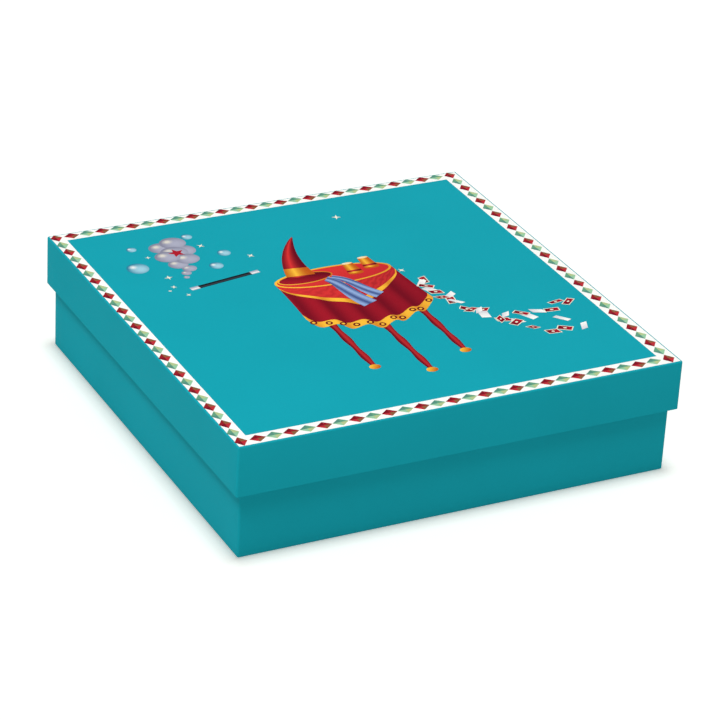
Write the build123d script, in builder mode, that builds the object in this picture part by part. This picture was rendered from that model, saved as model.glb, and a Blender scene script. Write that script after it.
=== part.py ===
from build123d import *
import os
from math import radians, tan

# A square board game box: a rigid paper-wrapped base and a shallower lift-off lid, with a formed
# plastic insert inside that holds a folded board, the rules, two decks of cards, dice, pawns and counters.
# Origin: middle of the underside, on the table. +Z up, -Y the front. Millimetres.

# --- Box: driving dimensions -------------------------------------------------------------------
box_side = 270.0            # wrapped lid, outside
box_height = 70.0           # closed, table to top of lid
lid_depth = 30.0            # wrapped lid, outside
lid_clearance = 1.4         # between the lid's turned-in paper and the base, each side
board_thickness = 2.0       # greyboard of both shells
paper_thickness = 0.2       # wraps and linings
label_thickness = 0.2       # sheet pasted over the underside of the base
label_margin = 3.0          # the label's edges in from the base's
corner_radius = 1.2         # upright edges of a wrapped shell
fold_radius = 0.8           # edges where a wrapped panel turns into its walls
corner_slit = 0.2           # gap where two walls of a folded blank meet
tape_leg = 22.0             # corner tape, each way from the corner
tape_thickness = 0.15
lid_turn_in = 16.0          # lid wrap folded over the rim and glued inside
base_turn_in = 20.0         # base wrap, the same
lining_margin = 0.8         # lining sheet to the walls or the turned-in paper

# --- Insert: driving dimensions ----------------------------------------------------------------
tray_thickness = 0.8        # formed sheet
tray_draft = 4.0            # degrees, every formed wall
tray_headroom = 10.6        # deck of the insert to the underside of the lid
tray_clearance = 0.8        # foot of the insert to the base's turned-in paper, each side
tray_corner_radius = 9.0
deck_rim_width = 6.4        # deck outside the outermost wells
well_gap = 9.0              # least width of deck between two wells
floor_clearance = 1.2       # content to the foot of its well's wall
foot_radius = 3 * floor_clearance   # well corners at the foot; a square content's corner clears them
support_post_diameter = 26.0
support_post_spacing = 120.0

# --- Contents: driving dimensions --------------------------------------------------------------
game_board_side = 232.0     # unfolded, square; folded once
leaf_thickness = 2.0
sheet_gap = 0.1             # between the two printed faces when folded shut
board_well_spare = 2.2      # board recess above the top of the rules
rules_width = 104.0
rules_length = 196.0
rules_cover_thickness = 0.25
rules_pages_thickness = 1.1
rules_page_setback = 0.5    # trimmed pages inside the cover's edges
staple_wire = 0.5
staple_crown = 12.0
staple_leg = 2.6
staple_spacing = 110.0
staple_clearance = 0.05
card_width = 63.0
card_length = 88.0
card_corner_radius = 4.0
card_thickness = 0.45
card_air = 0.02             # between two cards
cards_per_deck = 24
band_width = 26.0
band_thickness = 0.2
band_clearance = 0.1
card_well_depth = 13.4
thumb_trench_width = 24.0
thumb_trench_reach = 8.0    # trench past the outer ends of the card wells
thumb_notch_radius = 10.5   # half-round notch in the side of the board recess
pawn_foot_radius = 7.0
pawn_foot_height = 1.8
pawn_neck_radius = 2.6
pawn_head_radius = 4.8
pawn_height = 25.0
pawn_waist_sag = 1.9        # how far the pawn's side curves in between foot and neck
pawn_well_depth = 17.0
pawn_pitch = 24.4
pawn_count = 4
die_side = 16.0
die_edge_radius = 1.8
die_gap = 2.0
die_well_depth = 11.5
counter_diameter = 25.0
counter_thickness = 2.0
counter_air = 0.02
counters_per_stack = 5
counter_well_depth = 11.5

# --- Box: worked-out sizes ---------------------------------------------------------------------
wrap_layers = 2 * paper_thickness
lid_board_side = box_side - wrap_layers
lid_inner_side = lid_board_side - 2 * board_thickness
lid_mouth_side = lid_inner_side - wrap_layers
base_side = lid_mouth_side - 2 * lid_clearance
base_board_side = base_side - wrap_layers
base_inner_side = base_board_side - 2 * board_thickness
base_mouth_side = base_inner_side - wrap_layers
panel_stack = paper_thickness + board_thickness + paper_thickness   # wrap, board and lining
rim_top = box_height - panel_stack                                  # the lid's lining rests on this rim
base_depth = rim_top - label_thickness
board_corner_radius = corner_radius - paper_thickness
board_fold_radius = fold_radius - paper_thickness

base_plane = Plane.XY.offset(label_thickness)                       # open upwards
lid_plane = Plane(origin=(0, 0, box_height), x_dir=(1, 0, 0), z_dir=(0, 0, -1))   # open downwards

# --- Insert: worked-out sizes ------------------------------------------------------------------
floor_top = label_thickness + panel_stack
deck_top = rim_top - tray_headroom
tray_height = deck_top - floor_top
tray_foot_side = base_mouth_side - 2 * tray_clearance
tray_deck_side = tray_foot_side - 2 * tray_height * tan(radians(tray_draft))


def draft_inset(depth):
    """How far a formed wall leans in over a depth."""
    return depth * tan(radians(tray_draft))


def well_mouth(content, depth):
    """Width of a well at the deck, for a content that clears the foot of the wall."""
    return content + 2 * (floor_clearance + draft_inset(depth))


def mouth_radius(depth):
    """Corner radius of a rectangular well at the deck."""
    return foot_radius + draft_inset(depth)


# The folded game board lies along the left of the insert, with the rules on top of it.
folded_width = game_board_side / 2
folded_thickness = 4 * paper_thickness + 2 * leaf_thickness + sheet_gap
rules_thickness = 2 * rules_cover_thickness + rules_pages_thickness
board_well_depth = folded_thickness + rules_thickness + board_well_spare
board_well_x = well_mouth(max(folded_width, rules_width), board_well_depth)
board_well_y = well_mouth(max(game_board_side, rules_length), board_well_depth)
half_field = tray_deck_side / 2 - deck_rim_width      # the wells lie within this of the middle
board_centre_x = -half_field + board_well_x / 2

# Two card wells, a row of pawns, then dice and counters share the right of the insert.
left_edge = board_centre_x + board_well_x / 2 + well_gap
right_centre_x = (left_edge + half_field) / 2
card_well_x = well_mouth(card_length, card_well_depth)
card_well_y = well_mouth(card_width, card_well_depth)
red_deck_y = half_field - thumb_trench_reach - card_well_y / 2
teal_deck_y = red_deck_y - card_well_y - well_gap
trench_top_y = red_deck_y + card_well_y / 2 + thumb_trench_reach
trench_bottom_y = teal_deck_y - card_well_y / 2 - thumb_trench_reach
pawn_well_diameter = well_mouth(2 * pawn_foot_radius, pawn_well_depth)
counter_well_diameter = well_mouth(counter_diameter, counter_well_depth)
dice_well_x = well_mouth(2 * die_side + die_gap, die_well_depth)
dice_well_y = well_mouth(die_side, die_well_depth)
bottom_row_y = -half_field + counter_well_diameter / 2
pawn_row_y = (trench_bottom_y + bottom_row_y + counter_well_diameter / 2) / 2
dice_centre_x = left_edge + dice_well_x / 2
mint_stack_x = half_field - counter_well_diameter / 2
red_stack_x = (dice_centre_x + dice_well_x / 2 + mint_stack_x - counter_well_diameter / 2) / 2

card_floor = deck_top - card_well_depth
pawn_floor = deck_top - pawn_well_depth
die_floor = deck_top - die_well_depth
counter_floor = deck_top - counter_well_depth
board_floor = deck_top - board_well_depth


# --- Box shells --------------------------------------------------------------------------------
def along(plane):
    """Axis that runs from a shell's panel to its rim."""
    return Axis(plane.origin, plane.z_dir)


def panel_inside(plane):
    """Inner face of a shell's panel."""
    return plane.offset(paper_thickness + board_thickness)


def corner_tapes_outline(side):
    """The four corner tapes as seen from above."""
    inside = side - 2 * tape_thickness
    between = side - 2 * tape_leg
    with BuildSketch() as outline:
        RectangleRounded(side, side, board_corner_radius)
        RectangleRounded(inside, inside, board_corner_radius - tape_thickness, mode=Mode.SUBTRACT)
        Rectangle(between, side, mode=Mode.SUBTRACT)
        Rectangle(side, between, mode=Mode.SUBTRACT)
    return outline.sketch


def folded_block(plane, start, side, height, upright_radius, panel_radius):
    """Solid block with rounded uprights and rounded panel edges, start above the shell's plane."""
    with BuildPart() as block:
        with BuildSketch(plane.offset(start)):
            RectangleRounded(side, side, upright_radius)
        extrude(amount=height)
        fillet(block.faces().sort_by(along(plane))[0].edges(), panel_radius)
    return block


def board_block(plane, side, depth):
    """Outer form of a shell's greyboard."""
    return folded_block(plane, paper_thickness, side, depth - wrap_layers,
                        board_corner_radius, board_fold_radius)


def greyboard_blank(plane, side, depth):
    """One sheet of greyboard: a panel and four walls folded from it, meeting at open corners."""
    inner = side - 2 * board_thickness
    wall_start = panel_inside(plane)
    wall_height = depth - wrap_layers - board_thickness
    outer_form = board_block(plane, side, depth)
    tapes_outline = corner_tapes_outline(side)
    with BuildPart() as blank:
        add(outer_form)
        with BuildSketch(wall_start):
            Rectangle(inner, inner)
            with GridLocations(inner - corner_slit, inner + board_thickness, 2, 2):
                Rectangle(corner_slit, board_thickness)
            add(tapes_outline)
        extrude(amount=wall_height, mode=Mode.SUBTRACT)
    return blank


def corner_tapes(plane, side, depth):
    """Four strips of gummed paper that hold the walls of a blank together at its corners."""
    tapes_outline = corner_tapes_outline(side)
    with BuildPart() as tapes:
        with BuildSketch(panel_inside(plane)):
            add(tapes_outline)
        extrude(amount=depth - wrap_layers - board_thickness)
    return tapes


def paper_wrap(plane, side, depth, turn_in):
    """Printed paper over the outside of a shell, folded over the rim and glued inside."""
    board_side = side - wrap_layers
    inner = board_side - 2 * board_thickness
    mouth = inner - wrap_layers
    board_form = board_block(plane, board_side, depth)
    outer_form = folded_block(plane, 0, side, depth, corner_radius, fold_radius)
    with BuildPart() as wrap:
        add(outer_form)
        add(board_form, mode=Mode.SUBTRACT)
        with BuildSketch(plane.offset(depth - paper_thickness)):
            Rectangle(inner, inner)
        extrude(amount=paper_thickness, mode=Mode.SUBTRACT)
        with BuildSketch(plane.offset(depth - turn_in)):
            Rectangle(inner, inner)
            Rectangle(mouth, mouth, mode=Mode.SUBTRACT)
        extrude(amount=turn_in)
    return wrap


def flat_sheet(plane, side, thickness):
    """Square of paper glued to a panel."""
    with BuildPart() as sheet:
        with BuildSketch(plane):
            Rectangle(side, side)
        extrude(amount=thickness)
    return sheet


# --- Insert ------------------------------------------------------------------------------------
def board_recess():
    """Recess for the folded board, with a thumb notch in its inner side."""
    with Locations((board_centre_x + board_well_x / 2, pawn_row_y)):
        Circle(thumb_notch_radius)
    with Locations((board_centre_x, 0)):
        RectangleRounded(board_well_x, board_well_y, mouth_radius(board_well_depth))


def card_wells():
    """Both card wells, joined by one thumb trench that runs under both decks' ends."""
    with Locations((right_centre_x, red_deck_y), (right_centre_x, teal_deck_y)):
        RectangleRounded(card_well_x, card_well_y, mouth_radius(card_well_depth))
    with Locations((right_centre_x, (trench_top_y + trench_bottom_y) / 2)):
        SlotOverall(trench_top_y - trench_bottom_y, thumb_trench_width, rotation=90)


def pawn_wells():
    with Locations((right_centre_x, pawn_row_y)):
        with GridLocations(pawn_pitch, 0, pawn_count, 1):
            Circle(pawn_well_diameter / 2)


def dice_well():
    with Locations((dice_centre_x, bottom_row_y)):
        RectangleRounded(dice_well_x, dice_well_y, mouth_radius(die_well_depth))


def counter_wells():
    with Locations((red_stack_x, bottom_row_y), (mint_stack_x, bottom_row_y)):
        Circle(counter_well_diameter / 2)


wells = (
    (board_recess, board_well_depth),
    (card_wells, card_well_depth),
    (pawn_wells, pawn_well_depth),
    (dice_well, die_well_depth),
    (counter_wells, counter_well_depth),
)


def form_down(top, depth, outline, grow, mode):
    """Adds or cuts a drafted lug below a level; grow widens its outline all round."""
    with BuildSketch(Plane.XY.offset(top)) as lug:
        outline()
        if grow:
            offset(amount=grow)
    extrude(lug.sketch, amount=-depth, taper=tray_draft, mode=mode)


def support_posts():
    with Locations((board_centre_x, 0)):
        with GridLocations(0, support_post_spacing, 1, 2):
            Circle(support_post_diameter / 2)


def formed_tray():
    """Insert formed from one plastic sheet: deck, skirt, wells, and posts under the board recess."""
    inner_foot = tray_foot_side - 2 * tray_thickness
    post_depth = board_floor - floor_top
    with BuildPart() as tray:
        with BuildSketch(Plane.XY.offset(floor_top)):
            RectangleRounded(tray_foot_side, tray_foot_side, tray_corner_radius)
        extrude(amount=tray_height, taper=tray_draft)
        with BuildSketch(Plane.XY.offset(floor_top)):
            RectangleRounded(inner_foot, inner_foot, tray_corner_radius - tray_thickness)
        extrude(amount=tray_height - tray_thickness, taper=tray_draft, mode=Mode.SUBTRACT)
        for outline, depth in wells:
            form_down(deck_top, depth + tray_thickness, outline, tray_thickness, Mode.ADD)
        form_down(board_floor, post_depth, support_posts, tray_thickness, Mode.ADD)
        for outline, depth in wells:
            form_down(deck_top, depth, outline, 0, Mode.SUBTRACT)
        form_down(board_floor, post_depth - tray_thickness, support_posts, 0, Mode.SUBTRACT)
    return tray


# --- Folded game board: two leaves, one printed face inside, one backing paper outside -----------
leaf_levels = (
    board_floor + paper_thickness,
    board_floor + 3 * paper_thickness + leaf_thickness + sheet_gap,
)
board_fold_x = board_centre_x - folded_width / 2 + paper_thickness      # inside of the backing's spine


def board_leaf(level):
    """Greyboard leaf of the game board."""
    with BuildPart() as leaf:
        with BuildSketch(Plane.XY.offset(level)):
            with Locations((board_fold_x, 0)):
                Rectangle(folded_width - paper_thickness, game_board_side, align=(Align.MIN, Align.CENTER))
        extrude(amount=leaf_thickness)
    return leaf


def folded_sheet(low, layer, gap, fold_x, length):
    """A sheet folded once along the board's spine, its two halves a gap apart."""
    width = board_centre_x + folded_width / 2 - fold_x
    with BuildPart() as sheet:
        with BuildSketch(Plane.XZ):
            with Locations((fold_x, low)):
                Rectangle(width, 2 * layer + gap, align=Align.MIN)
            with Locations((fold_x + layer, low + layer)):
                Rectangle(width, gap, align=Align.MIN, mode=Mode.SUBTRACT)
        extrude(amount=length / 2, both=True)
    return sheet


# --- Rules: stapled booklet on top of the folded board --------------------------------------------
rules_floor = board_floor + folded_thickness
rules_spine_x = board_centre_x - rules_width / 2
rules_middle = rules_floor + rules_thickness / 2


def staple_holes():
    """Cuts the holes that the staples' legs take through the spine."""
    with Locations((rules_spine_x, 0, rules_middle)):
        with GridLocations(0, staple_spacing, 1, 2):
            with GridLocations(0, staple_crown - staple_wire, 1, 2):
                Cylinder(staple_wire / 2 + staple_clearance, 2 * staple_leg, rotation=(0, 90, 0),
                         mode=Mode.SUBTRACT)


def rules_cover():
    with BuildPart() as cover:
        with BuildSketch(Plane.XZ):
            with Locations((rules_spine_x, rules_floor)):
                Rectangle(rules_width, rules_thickness, align=Align.MIN)
            with Locations((rules_spine_x + rules_cover_thickness, rules_floor + rules_cover_thickness)):
                Rectangle(rules_width, rules_pages_thickness, align=Align.MIN, mode=Mode.SUBTRACT)
        extrude(amount=rules_length / 2, both=True)
        staple_holes()
    return cover


def rules_pages():
    pages_width = rules_width - rules_cover_thickness - rules_page_setback
    pages_length = rules_length - 2 * rules_page_setback
    with BuildPart() as pages:
        with BuildSketch(Plane.XY.offset(rules_floor + rules_cover_thickness)):
            with Locations((rules_spine_x + rules_cover_thickness, 0)):
                Rectangle(pages_width, pages_length, align=(Align.MIN, Align.CENTER))
        extrude(amount=rules_pages_thickness)
        staple_holes()
    return pages


def rules_staples():
    """Two wire staples: a crown along the outside of the spine and two legs through it."""
    crown_x = rules_spine_x - staple_wire / 2
    half_crown = (staple_crown - staple_wire) / 2
    with BuildPart() as staples:
        for middle_y in (-staple_spacing / 2, staple_spacing / 2):
            with BuildLine() as wire:
                FilletPolyline(
                    (crown_x + staple_leg, middle_y - half_crown, rules_middle),
                    (crown_x, middle_y - half_crown, rules_middle),
                    (crown_x, middle_y + half_crown, rules_middle),
                    (crown_x + staple_leg, middle_y + half_crown, rules_middle),
                    radius=staple_wire / 2 + staple_clearance,
                )
            with BuildSketch(Plane(wire.line @ 0, z_dir=wire.line % 0)):
                Circle(staple_wire / 2)
            sweep(path=wire.line)
    return staples


# --- Cards ---------------------------------------------------------------------------------------
card_pitch = card_thickness + card_air
deck_height = cards_per_deck * card_pitch - card_air


def card_deck(centre_y):
    """A stack of loose cards, lying on its paper band."""
    with BuildPart() as deck:
        for card in range(cards_per_deck):
            level = card_floor + band_thickness + band_clearance + card * card_pitch
            with BuildSketch(Plane.XY.offset(level)):
                with Locations((right_centre_x, centre_y)):
                    RectangleRounded(card_length, card_width, card_corner_radius)
            extrude(amount=card_thickness)
    return deck


def card_band(centre_y):
    """Paper loop round the middle of a deck."""
    room_y = card_width + 2 * band_clearance
    room_z = deck_height + 2 * band_clearance
    with BuildPart() as band:
        with BuildSketch(Plane.YZ.offset(right_centre_x)):
            with Locations((centre_y, card_floor + band_thickness + room_z / 2)):
                Rectangle(room_y + 2 * band_thickness, room_z + 2 * band_thickness)
                Rectangle(room_y, room_z, mode=Mode.SUBTRACT)
        extrude(amount=band_width / 2, both=True)
    return band


# --- Dice, pawns and counters --------------------------------------------------------------------
def die(side_of_centre):
    """One die; side_of_centre is -1 or 1, its place in the pair."""
    centre_x = dice_centre_x + side_of_centre * (die_side + die_gap) / 2
    with BuildPart() as cube:
        with Locations((centre_x, bottom_row_y, die_floor)):
            Box(die_side, die_side, die_side, align=(Align.CENTER, Align.CENTER, Align.MIN))
        fillet(cube.edges(), die_edge_radius)
    return cube


def pawn(index):
    """Turned pawn: flat foot, a side that curves in to the neck, and a ball head."""
    centre_x = right_centre_x + (index - (pawn_count - 1) / 2) * pawn_pitch
    axis_plane = Plane(origin=(centre_x, pawn_row_y, pawn_floor), x_dir=(1, 0, 0), z_dir=(0, -1, 0))
    head_level = pawn_height - pawn_head_radius
    neck_level = head_level - (pawn_head_radius**2 - pawn_neck_radius**2) ** 0.5
    waist_radius = (pawn_foot_radius + pawn_neck_radius) / 2 - pawn_waist_sag
    waist_level = (pawn_foot_height + neck_level) / 2
    with BuildPart() as turned:
        with BuildSketch(axis_plane):
            with BuildLine():
                Polyline((0, 0), (pawn_foot_radius, 0), (pawn_foot_radius, pawn_foot_height))
                ThreePointArc((pawn_foot_radius, pawn_foot_height), (waist_radius, waist_level),
                              (pawn_neck_radius, neck_level))
                ThreePointArc((pawn_neck_radius, neck_level), (pawn_head_radius, head_level),
                              (0, pawn_height))
                Line((0, pawn_height), (0, 0))
            make_face()
        revolve(axis=Axis((centre_x, pawn_row_y, pawn_floor), (0, 0, 1)))
    return turned


def counter_stack(centre_x):
    """A stack of loose round counters."""
    with BuildPart() as stack:
        for counter in range(counters_per_stack):
            level = counter_floor + counter * (counter_thickness + counter_air)
            with BuildSketch(Plane.XY.offset(level)):
                with Locations((centre_x, bottom_row_y)):
                    Circle(counter_diameter / 2)
            extrude(amount=counter_thickness)
    return stack


# --- All the pieces, each under its node's name ------------------------------------------------------
face_sheet_floor = board_floor + paper_thickness + leaf_thickness
pieces = {
    "lid_board": greyboard_blank(lid_plane, lid_board_side, lid_depth),
    "lid_corner_tapes": corner_tapes(lid_plane, lid_board_side, lid_depth),
    "lid_wrap": paper_wrap(lid_plane, box_side, lid_depth, lid_turn_in),
    "lid_lining": flat_sheet(panel_inside(lid_plane), lid_inner_side - 2 * lining_margin,
                             paper_thickness),
    "base_board": greyboard_blank(base_plane, base_board_side, base_depth),
    "base_corner_tapes": corner_tapes(base_plane, base_board_side, base_depth),
    "base_wrap": paper_wrap(base_plane, base_side, base_depth, base_turn_in),
    "base_lining": flat_sheet(panel_inside(base_plane), base_inner_side - 2 * lining_margin,
                              paper_thickness),
    "base_label": flat_sheet(Plane.XY, base_side - 2 * label_margin, label_thickness),
    "insert_tray": formed_tray(),
    "board_lower_leaf": board_leaf(leaf_levels[0]),
    "board_upper_leaf": board_leaf(leaf_levels[1]),
    "board_face_sheet": folded_sheet(face_sheet_floor, paper_thickness, sheet_gap,
                                     board_fold_x, game_board_side),
    "board_backing": folded_sheet(board_floor, paper_thickness, folded_thickness - wrap_layers,
                                  board_fold_x - paper_thickness, game_board_side),
    "rules_cover": rules_cover(),
    "rules_pages": rules_pages(),
    "rules_staples": rules_staples(),
    "red_deck_cards": card_deck(red_deck_y),
    "red_deck_band": card_band(red_deck_y),
    "teal_deck_cards": card_deck(teal_deck_y),
    "teal_deck_band": card_band(teal_deck_y),
    "die_left": die(-1),
    "die_right": die(1),
    "counters_red": counter_stack(red_stack_x),
    "counters_mint": counter_stack(mint_stack_x),
}
for index, colour in enumerate(("red", "yellow", "green", "blue")):
    pieces[f"pawn_{colour}"] = pawn(index)

os.makedirs("parts", exist_ok=True)
for name, piece in pieces.items():
    piece.part.label = name
    export_step(piece.part, f"parts/{name}.step")
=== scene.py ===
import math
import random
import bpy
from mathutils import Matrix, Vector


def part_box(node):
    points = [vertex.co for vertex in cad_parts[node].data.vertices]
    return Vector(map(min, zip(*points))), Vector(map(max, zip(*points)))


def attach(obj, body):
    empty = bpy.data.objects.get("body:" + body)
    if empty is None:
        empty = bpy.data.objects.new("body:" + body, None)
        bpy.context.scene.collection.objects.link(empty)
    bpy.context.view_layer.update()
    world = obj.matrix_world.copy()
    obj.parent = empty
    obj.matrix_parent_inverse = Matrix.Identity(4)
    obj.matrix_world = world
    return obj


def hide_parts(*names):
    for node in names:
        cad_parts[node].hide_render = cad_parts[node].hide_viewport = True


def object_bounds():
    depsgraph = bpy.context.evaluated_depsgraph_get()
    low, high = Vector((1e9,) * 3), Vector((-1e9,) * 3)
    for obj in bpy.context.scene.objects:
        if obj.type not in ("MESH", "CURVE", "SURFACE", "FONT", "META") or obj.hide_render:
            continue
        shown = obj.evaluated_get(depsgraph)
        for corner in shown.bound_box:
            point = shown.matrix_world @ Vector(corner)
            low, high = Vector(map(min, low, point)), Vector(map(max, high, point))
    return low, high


bl_info = {
    "name": "Board Game Box",
    "version": (1, 0, 0),
    "blender": (4, 5, 0),
    "location": "View3D > Sidebar > Game Box",
    "description": "A square lift-off-lid game box with printed paper, a formed insert and its contents",
    "category": "Add Mesh",
}

import bmesh
import bpy
from bpy.props import FloatProperty, FloatVectorProperty, IntProperty, PointerProperty
from mathutils import Matrix, Vector

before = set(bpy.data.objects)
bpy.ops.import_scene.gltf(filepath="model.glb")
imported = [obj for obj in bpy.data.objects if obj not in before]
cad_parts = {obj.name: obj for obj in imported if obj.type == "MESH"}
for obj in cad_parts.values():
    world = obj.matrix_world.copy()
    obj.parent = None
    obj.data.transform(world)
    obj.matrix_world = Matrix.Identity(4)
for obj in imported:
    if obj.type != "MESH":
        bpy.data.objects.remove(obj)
cad_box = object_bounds()

MM = 0.001
TINY = 1e-6
LID, BASE = "lid", "base"
STAGE_LIGHT = 1.3    # how bright the stage's light shows a white sheet that faces up


# --- Settings --------------------------------------------------------------------------------

def length(name, description, millimetres):
    return FloatProperty(name=name, description=description, default=millimetres * MM,
                         subtype="DISTANCE", unit="LENGTH", precision=5)


def angle(name, description, degrees):
    return FloatProperty(name=name, description=description, default=math.radians(degrees),
                         subtype="ANGLE")


def number(name, description, value):
    return FloatProperty(name=name, description=description, default=value)


def count(name, description, value):
    return IntProperty(name=name, description=description, default=value)


def linear(value):
    """A screen value, 0 to 255, as light."""
    share = value / 255
    return share / 12.92 if share <= 0.04045 else ((share + 0.055) / 1.055) ** 2.4


def tone(red, green, blue):
    """A surface colour, given as it looks on a screen, 0 to 255, when it faces up on the stage."""
    return tuple(linear(value) / STAGE_LIGHT for value in (red, green, blue))


def colour(name, description, red, green, blue):
    return FloatVectorProperty(name=name, description=description, subtype="COLOR", size=3,
                               min=0, max=1, default=tone(red, green, blue))


class ShellSettings(bpy.types.PropertyGroup):
    """Sizes of the two paper-covered shells that the CAD boxes don't give."""

    paper: length("Paper", "Thickness of the wrapping paper", 0.2)
    board: length("Greyboard", "Thickness of the greyboard under the paper", 2.0)
    upright_radius: length("Upright radius", "Rounding of the upright edges", 1.2)
    fold_radius: length("Fold radius", "Rounding where the panel meets the walls", 0.8)
    lid_turn_in: length("Lid turn-in", "Paper turned in over the lid's rim", 16.0)
    base_turn_in: length("Base turn-in", "Paper turned in over the base's rim", 20.0)
    tab_width: length("Corner tab", "Reach of the glued paper tab round each upright edge", 13.0)
    tab_step: length("Tab step", "How far the paper stands proud over a corner tab", 0.06)
    print_room: length("Print room", "Depth kept free on the lid for the printed layers", 0.16)


class PrintSettings(bpy.types.PropertyGroup):
    """Printed colours and the border of the lid."""

    teal: colour("Teal", "Ground colour of the lid and base", 21, 160, 176)
    white: colour("Border white", "Bare paper of the border band", 250, 251, 248)
    band_width: length("Band width", "Width of the white border band", 10.0)
    band_bleed: length("Band bleed", "Ground colour left outside the band, round the fold", 1.1)
    fold_room: length("Fold room", "Bare strip kept between a diamond and the fold", 0.2)
    shift_left: length("Shift left", "How far left the border was printed off centre", 0.9)
    shift_back: length("Shift back", "How far back the border was printed off centre", 0.8)
    diamond_long: length("Diamond length", "Diamond along the edge", 9.6)
    diamond_wide: length("Diamond width", "Diamond across the band", 7.4)
    diamond_inset: length("Diamond inset", "Middle of a diamond from the lid's edge", 5.1)
    side_count: count("Side diamonds", "Diamonds on each side edge", 27)
    front_count: count("Front diamonds", "Diamonds on the front and back edges", 26)
    layer: length("Printed layer", "Height of one printed layer over the next", 0.016)


class ContentsSettings(bpy.types.PropertyGroup):
    """Sizes of the small pieces that the CAD boxes don't give."""

    tray_rounding: length("Tray rounding", "Rounding of the formed sheet's bends", 0.35)
    pawn_foot: length("Pawn foot", "Height of a pawn's foot", 1.8)
    pawn_neck: length("Pawn neck", "Radius of a pawn's neck", 2.6)
    pawn_head: length("Pawn head", "Radius of a pawn's head", 4.8)
    pawn_sag: length("Pawn waist", "How far a pawn's side curves in", 1.9)
    die_rounding: length("Die rounding", "Rounding of a die's edges", 1.8)
    pip_radius: length("Pip radius", "Radius of a pip where it meets the face", 1.35)
    pip_depth: length("Pip depth", "Depth of a pip's hollow", 0.5)
    pip_pitch: length("Pip pitch", "Distance from a face's middle pip to the next row", 3.9)
    counter_count: count("Counters", "Counters in each stack", 5)
    counter_air: length("Counter gap", "Air between two stacked counters", 0.02)


class StageSettings(bpy.types.PropertyGroup):
    """Camera, floor and light."""

    azimuth: angle("Azimuth", "Camera round the box from the front", -27.91)
    elevation: angle("Elevation", "Camera above the horizon", 27.62)
    roll: angle("Roll", "Turn of the camera about its own axis", 3.30)
    distance: length("Distance", "Camera to the point that it looks at", 1804.1)
    focal: number("Focal length", "Lens in millimetres, for a sensor 36 mm wide", 158.2)
    aim_left: length("Aim left", "How far left of the box's axis the camera looks", 1.08)
    aim_front: length("Aim front", "How far in front of the box's axis the camera looks", 10.83)
    floor_size: length("Floor", "Side of the square floor", 60000.0)
    floor_glow: number("Floor glow", "Light from the floor, as on a light table", 0.36)
    sky: number("Sky", "Strength of the surroundings overhead", 0.30)
    horizon: number("Horizon", "Strength of the surroundings low down", 0.76)
    overhead: number("Overhead lamp", "Strength of the soft lamp above the box", 1.18)
    downward: number("Floor lamp", "Strength of the lamp above that lights the floor alone", 1.5)
    key: number("Key lamp", "Strength of the high lamp on the left", 2.5)


settings_groups = {
    "box_shell": ShellSettings,
    "box_print": PrintSettings,
    "box_contents": ContentsSettings,
    "box_stage": StageSettings,
}


# --- Modelling helpers -----------------------------------------------------------------------

def only(*pieces):
    """Makes these pieces the only selected ones, and the first one active."""
    bpy.ops.object.select_all(action="DESELECT")
    for piece in pieces:
        piece.select_set(True)
    bpy.context.view_layer.objects.active = pieces[0]


class Editing:
    """Edit mode on one piece, with nothing selected at the start."""

    def __init__(self, piece):
        self.piece = piece

    def __enter__(self):
        only(self.piece)
        bpy.ops.object.mode_set(mode="EDIT")
        bpy.ops.mesh.select_all(action="DESELECT")
        return self

    def __exit__(self, *failure):
        bpy.ops.object.mode_set(mode="OBJECT")

    def _select(self, kind, items, place, test):
        bpy.ops.mesh.select_all(action="DESELECT")
        bpy.ops.mesh.select_mode(type=kind)
        mesh = bmesh.from_edit_mesh(self.piece.data)
        mesh.normal_update()
        for item in getattr(mesh, items):
            item.select_set(bool(test(*place(item))))
        mesh.select_flush_mode()
        bmesh.update_edit_mesh(self.piece.data)

    def faces(self, test):
        """Selects the faces for which test(middle, normal) is true."""
        self._select("FACE", "faces", lambda f: (f.calc_center_median(), f.normal), test)

    def edges(self, test):
        """Selects the edges for which test(start, end) is true."""
        self._select("EDGE", "edges", lambda e: (e.verts[0].co, e.verts[1].co), test)

    def points(self, test):
        """Selects the points for which test(place) is true."""
        self._select("VERT", "verts", lambda v: (v.co,), test)

    def outwards(self):
        """Turns every face of a closed shape outwards."""
        bpy.ops.mesh.select_all(action="SELECT")
        bpy.ops.mesh.normals_make_consistent(inside=False)


def added(name, add, **values):
    """Adds a primitive, names it and puts its place into its mesh."""
    bpy.ops.object.select_all(action="DESELECT")
    add(**values)
    bpy.ops.object.transform_apply(location=True, rotation=True, scale=True)
    piece = bpy.context.object
    piece.name = piece.data.name = name
    return piece


def modified(piece, kind, **values):
    """Adds a modifier to a piece and applies it."""
    only(piece)
    modifier = piece.modifiers.new(kind.title(), kind)
    for key, value in values.items():
        setattr(modifier, key, value)
    bpy.ops.object.modifier_apply(modifier=modifier.name)


def smooth(piece, degrees=35):
    """Smooth shading, with the edges sharper than an angle kept."""
    only(piece)
    bpy.ops.object.shade_smooth_by_angle(angle=math.radians(degrees))
    return piece


def joined(name, pieces):
    """One piece from several."""
    only(*pieces)
    if len(pieces) > 1:
        bpy.ops.object.join()
    piece = bpy.context.object
    piece.name = piece.data.name = name
    return piece


def copied(piece, name, matrix=None):
    """A copy with a mesh of its own, moved by a matrix."""
    copy = piece.copy()
    copy.data = piece.data.copy()
    copy.name = copy.data.name = name
    if matrix is not None:
        copy.data.transform(matrix)
    bpy.context.collection.objects.link(copy)
    return copy


def repeated(name, original, matrices):
    """One piece made of a copy of the original for each matrix; the original goes."""
    copies = [copied(original, f"{name}_{i}", matrix) for i, matrix in enumerate(matrices)]
    bpy.data.objects.remove(original)
    return joined(name, copies)


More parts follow.
